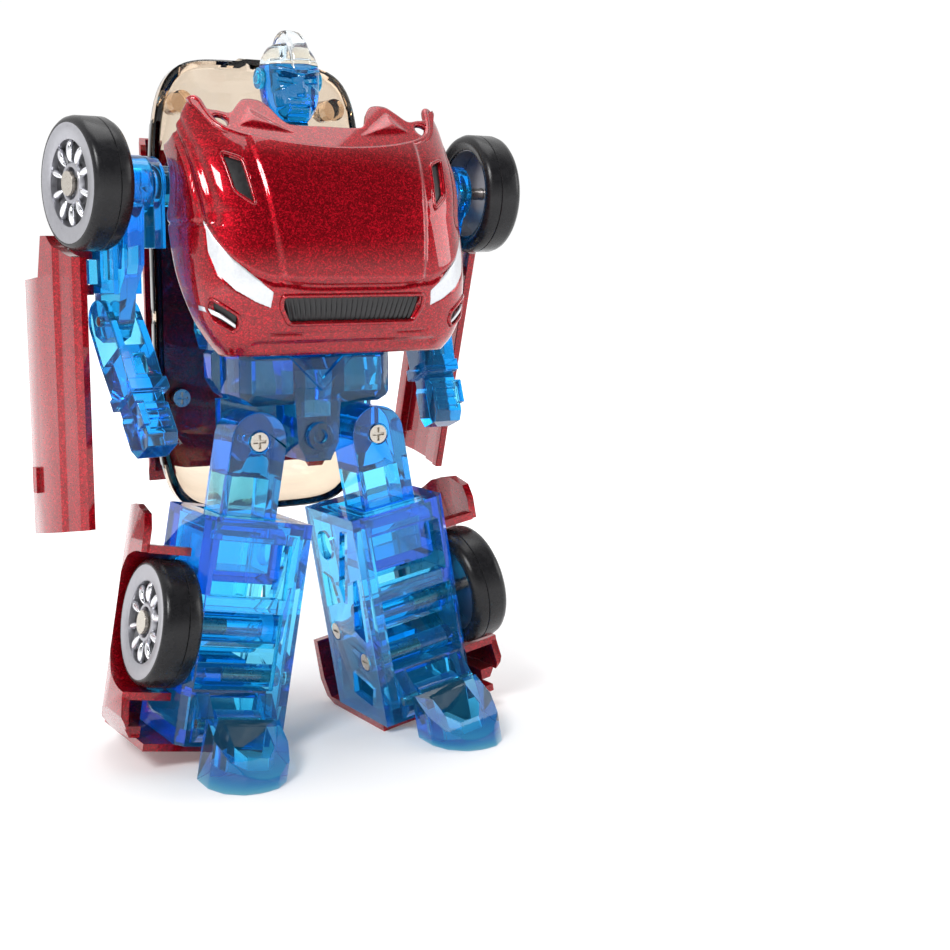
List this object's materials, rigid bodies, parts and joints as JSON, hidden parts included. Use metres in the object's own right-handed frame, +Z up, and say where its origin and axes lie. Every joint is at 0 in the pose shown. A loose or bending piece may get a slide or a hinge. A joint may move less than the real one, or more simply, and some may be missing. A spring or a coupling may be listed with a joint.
{
  "type": "transforming robot car toy",
  "caption": "Palm-size robot in red car-body shells over clear blue plastic limbs, with folding head, hood, cabin, arms, doors, legs and rolling wheels.",
  "frame": {"origin": "on the ground, midway between the feet and in line with the hip screws", "axes": "+Z up, the robot faces -Y, its left hand is on +X"},
  "size_m": [0.0827, 0.0629, 0.1176],
  "materials": {
    "red_paint": "metallic flake under clear coat",
    "blue_plastic": "transparent moulded plastic",
    "clear_plastic": "clear moulded plastic",
    "smoke_plastic": "smoke-tinted transparent plastic",
    "tyre": "semi-gloss hard plastic",
    "rim": "bright plated plastic with a grey face",
    "steel": "plain"
  },
  "bodies": {
    "torso": {"torso_front": "blue_plastic", "torso_back": "blue_plastic", "torso_screws": "steel", "pelvis": "blue_plastic", "arm_pin_low": "steel", "neck_pin": "steel", "hip_screw_r": "steel", "hip_screw_l": "steel"},
    "head": {"head": "blue_plastic", "head_crest": "clear_plastic"},
    "hood": {"hood_shell": "red_paint"},
    "cabin_link": {"cabin_arm": "blue_plastic"},
    "cabin": {"arm_pin_high": "steel", "cabin_glass": "smoke_plastic", "roof_shell": "red_paint", "roof_screws": "steel"},
    "shoulder_r": {"shoulder_bar_r": "blue_plastic"},
    "arm_r": {"upper_arm_r": "blue_plastic", "elbow_pin_r": "steel", "door_pin_r": "steel", "front_axle_r": "steel"},
    "forearm_r": {"forearm_r": "blue_plastic"},
    "door_r": {"door_r": "red_paint"},
    "front_wheel_r": {"front_rim_r": "rim", "front_tyre_r": "tyre"},
    "thigh_r": {"thigh_r": "blue_plastic"},
    "shin_r": {"shin_frame_r": "blue_plastic", "shin_cover_r": "blue_plastic", "shin_screws_r": "steel", "fender_r": "red_paint", "foot_pin_r": "steel", "rear_axle_r": "steel"},
    "foot_r": {"foot_r": "blue_plastic"},
    "rear_wheel_r": {"rear_rim_r": "rim", "rear_tyre_r": "tyre"},
    "shoulder_l": {"shoulder_bar_l": "blue_plastic"},
    "arm_l": {"upper_arm_l": "blue_plastic", "elbow_pin_l": "steel", "door_pin_l": "steel", "front_axle_l": "steel"},
    "forearm_l": {"forearm_l": "blue_plastic"},
    "door_l": {"door_l": "red_paint"},
    "front_wheel_l": {"front_rim_l": "rim", "front_tyre_l": "tyre"},
    "thigh_l": {"thigh_l": "blue_plastic"},
    "shin_l": {"shin_frame_l": "blue_plastic", "shin_cover_l": "blue_plastic", "shin_screws_l": "steel", "fender_l": "red_paint", "foot_pin_l": "steel", "rear_axle_l": "steel"},
    "foot_l": {"foot_l": "blue_plastic"},
    "rear_wheel_l": {"rear_rim_l": "rim", "rear_tyre_l": "tyre"}
  },
  "joints": [
    {"name": "head_fold", "type": "hinge", "parent": "torso", "child": "head", "pos_m": [0, 0.006, 0.1005], "axis": [-1, 0, 0], "range_deg": [0, 90]},
    {"name": "hood_lift", "type": "hinge", "parent": "torso", "child": "hood", "pos_m": [0, 0.005, 0.0923], "axis": [-1, 0, 0], "range_deg": [0, 22]},
    {"name": "cabin_swing", "type": "hinge", "parent": "torso", "child": "cabin_link", "pos_m": [0, 0.0158, 0.072], "axis": [-1, 0, 0], "range_deg": [0, 124]},
    {"name": "cabin_level", "type": "hinge", "parent": "cabin_link", "child": "cabin", "pos_m": [0, 0.02378, 0.08701], "axis": [-1, 0, 0], "range_deg": [-124, 0]},
    {"name": "shoulder_slide_r", "type": "slide", "parent": "torso", "child": "shoulder_r", "axis": [-1, 0, 0], "range_m": [-0.0036, 0]},
    {"name": "arm_swing_r", "type": "hinge", "parent": "shoulder_r", "child": "arm_r", "pos_m": [-0.02794, 0.00417, 0.0923], "axis": [-0.9903, -0.1392, 0], "range_deg": [-18, 60]},
    {"name": "elbow_r", "type": "hinge", "parent": "arm_r", "child": "forearm_r", "pos_m": [-0.03018, 0.00789, 0.071], "axis": [-0.9903, -0.1392, 0], "range_deg": [-33, 32]},
    {"name": "door_open_r", "type": "hinge", "parent": "arm_r", "child": "door_r", "pos_m": [-0.03442, 0.01002, 0.08], "axis": [0, 0, -1], "range_deg": [0, 20]},
    {"name": "front_wheel_spin_r", "type": "hinge", "parent": "arm_r", "child": "front_wheel_r", "pos_m": [-0.03586, 0.00305, 0.0923], "axis": [0.9903, 0.1392, 0], "continuous": true},
    {"name": "hip_splay_r", "type": "hinge", "parent": "torso", "child": "thigh_r", "pos_m": [-0.01085, 0, 0.05153], "axis": [0, 1, 0], "range_deg": [-10, 3]},
    {"name": "leg_slide_r", "type": "slide", "parent": "thigh_r", "child": "shin_r", "axis": [0.1736, 0, 0.9848], "range_m": [0, 0.004]},
    {"name": "foot_fold_r", "type": "hinge", "parent": "shin_r", "child": "foot_r", "pos_m": [-0.0187, -0.0094, 0.00702], "axis": [-0.9848, 0, 0.1736], "range_deg": [0, 55]},
    {"name": "rear_wheel_spin_r", "type": "hinge", "parent": "shin_r", "child": "rear_wheel_r", "pos_m": [-0.02798, -0.0028, 0.02348], "axis": [0.9848, 0, -0.1736], "continuous": true},
    {"name": "shoulder_slide_l", "type": "slide", "parent": "torso", "child": "shoulder_l", "axis": [1, 0, 0], "range_m": [-0.0036, 0]},
    {"name": "arm_swing_l", "type": "hinge", "parent": "shoulder_l", "child": "arm_l", "pos_m": [0.028, 0.00479, 0.0923], "axis": [-0.9994, 0.0349, 0], "range_deg": [0, 78]},
    {"name": "elbow_l", "type": "hinge", "parent": "arm_l", "child": "forearm_l", "pos_m": [0.03006, 0.01511, 0.07328], "axis": [-0.9994, 0.0349, 0], "range_deg": [-38, 27]},
    {"name": "door_open_l", "type": "hinge", "parent": "arm_l", "child": "door_l", "pos_m": [0.03395, 0.01476, 0.08267], "axis": [-0.0108, -0.3088, 0.9511], "range_deg": [0, 20]},
    {"name": "front_wheel_spin_l", "type": "hinge", "parent": "arm_l", "child": "front_wheel_l", "pos_m": [0.03599, 0.00451, 0.0923], "axis": [0.9994, -0.0349, 0], "continuous": true},
    {"name": "hip_splay_l", "type": "hinge", "parent": "torso", "child": "thigh_l", "pos_m": [0.01085, 0, 0.05153], "axis": [0, -1, 0], "range_deg": [-10, 3]},
    {"name": "leg_slide_l", "type": "slide", "parent": "thigh_l", "child": "shin_l", "axis": [-0.1736, 0, 0.9848], "range_m": [0, 0.004]},
    {"name": "foot_fold_l", "type": "hinge", "parent": "shin_l", "child": "foot_l", "pos_m": [0.0187, -0.0094, 0.00702], "axis": [-0.9848, 0, -0.1736], "range_deg": [0, 55]},
    {"name": "rear_wheel_spin_l", "type": "hinge", "parent": "shin_l", "child": "rear_wheel_l", "pos_m": [0.02798, -0.0028, 0.02348], "axis": [0.9848, 0, 0.1736], "continuous": true}
  ],
  "couplings": [
    {"joint": "cabin_level", "follows": "cabin_swing", "ratio": -1}
  ]
}
